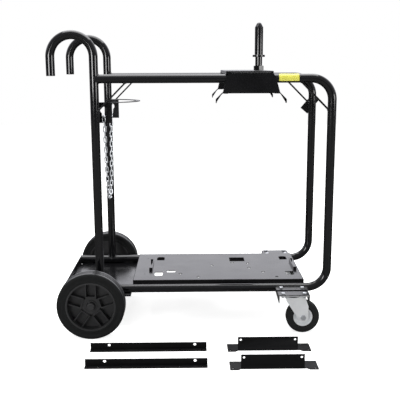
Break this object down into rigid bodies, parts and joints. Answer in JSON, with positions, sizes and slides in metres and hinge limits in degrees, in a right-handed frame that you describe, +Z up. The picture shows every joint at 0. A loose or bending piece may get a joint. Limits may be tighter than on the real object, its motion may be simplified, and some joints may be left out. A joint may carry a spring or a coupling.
{
  "type": "welding trolley",
  "caption": "Welder trolley with bent-tube side frames, deck, gas cylinder rest with chain, feeder pin, spoked rear wheels, swivel casters and loose mounting brackets.",
  "frame": {"origin": "on the floor, under the middle of the whole outline, with the loose brackets", "axes": "+X towards the casters, +Y towards the trolley's left side, +Z up"},
  "size_m": [1.0676, 0.953, 1.152],
  "materials": {
    "black_powder_coat": "gloss black powder coat",
    "bright_zinc": "bright zinc plate",
    "black_nut": "gloss black",
    "tyre_rubber": "moulded solid rubber",
    "caster_rubber": "grey-black rubber",
    "hub_plastic": "black moulded plastic",
    "plug_plastic": "black plastic",
    "yellow_film": "plain yellow film"
  },
  "bodies": {
    "cart": {"side_loop_right": "black_powder_coat", "side_loop_left": "black_powder_coat", "rear_upright_right": "black_powder_coat", "rear_upright_left": "black_powder_coat", "tube_end_plugs": "plug_plastic", "rear_brace_right": "black_powder_coat", "rear_brace_left": "black_powder_coat", "front_brace_right": "black_powder_coat", "front_brace_left": "black_powder_coat", "hanger_plate": "black_powder_coat", "deck_plate": "black_powder_coat", "front_cross_rail": "black_powder_coat", "rear_cross_rail": "black_powder_coat", "deck_screws": "black_powder_coat", "cylinder_tray": "black_powder_coat", "axle_plate_right": "black_powder_coat", "axle_plate_left": "black_powder_coat", "rear_axle": "bright_zinc", "axle_spacers": "black_powder_coat", "axle_washers": "bright_zinc", "axle_caps": "hub_plastic", "feeder_saddle": "black_powder_coat", "saddle_cheek_right": "black_powder_coat", "saddle_cheek_left": "black_powder_coat", "cable_hooks": "black_powder_coat", "feeder_pin": "black_powder_coat", "pin_top_nut": "black_nut", "pin_bottom_nut": "black_nut", "cylinder_yoke": "black_powder_coat", "caster_flange_right": "black_powder_coat", "caster_flange_left": "black_powder_coat", "caster_bracket_right": "black_powder_coat", "caster_bracket_left": "black_powder_coat", "caster_bolts": "bright_zinc", "caster_nuts": "bright_zinc", "caster_plate_right": "bright_zinc", "caster_plate_left": "bright_zinc", "caster_kingpins": "bright_zinc", "angle_strip_rear": "black_powder_coat", "angle_strip_front": "black_powder_coat", "hat_bracket_rear": "black_powder_coat", "hat_bracket_front": "black_powder_coat", "plain_decal": "yellow_film"},
    "rear_wheel_right": {"rear_tyre_right": "tyre_rubber", "rear_hub_right": "hub_plastic"},
    "rear_wheel_left": {"rear_tyre_left": "tyre_rubber", "rear_hub_left": "hub_plastic"},
    "caster_fork_right_body": {"caster_fork_right": "bright_zinc", "caster_axle_right": "bright_zinc"},
    "caster_fork_left_body": {"caster_fork_left": "bright_zinc", "caster_axle_left": "bright_zinc"},
    "caster_wheel_right": {"caster_rim_right": "bright_zinc", "caster_tyre_right": "caster_rubber"},
    "caster_wheel_left": {"caster_rim_left": "bright_zinc", "caster_tyre_left": "caster_rubber"},
    "chain": {"cylinder_chain": "bright_zinc"}
  },
  "joints": [
    {"name": "rear_wheel_right_spin", "type": "hinge", "parent": "cart", "child": "rear_wheel_right", "pos_m": [-0.38477, -0.1735, 0.125], "axis": [0, 1, 0], "continuous": true},
    {"name": "rear_wheel_left_spin", "type": "hinge", "parent": "cart", "child": "rear_wheel_left", "pos_m": [-0.38477, 0.4465, 0.125], "axis": [0, 1, 0], "continuous": true},
    {"name": "caster_swivel_right", "type": "hinge", "parent": "cart", "child": "caster_fork_right_body", "pos_m": [0.36423, -0.1365, 0.1415], "axis": [0, 0, 1], "continuous": true},
    {"name": "caster_swivel_left", "type": "hinge", "parent": "cart", "child": "caster_fork_left_body", "pos_m": [0.36423, 0.4095, 0.1415], "axis": [0, 0, 1], "continuous": true},
    {"name": "caster_wheel_right_spin", "type": "hinge", "parent": "caster_fork_right_body", "child": "caster_wheel_right", "pos_m": [0.40223, -0.1365, 0.0625], "axis": [0, 1, 0], "continuous": true},
    {"name": "caster_wheel_left_spin", "type": "hinge", "parent": "caster_fork_left_body", "child": "caster_wheel_left", "pos_m": [0.40223, 0.4095, 0.0625], "axis": [0, 1, 0], "continuous": true},
    {"name": "chain_swing", "type": "hinge", "parent": "cart", "child": "chain", "pos_m": [-0.34077, 0.1365, 0.806], "axis": [0, -1, 0], "range_deg": [-30, 75]}
  ]
}
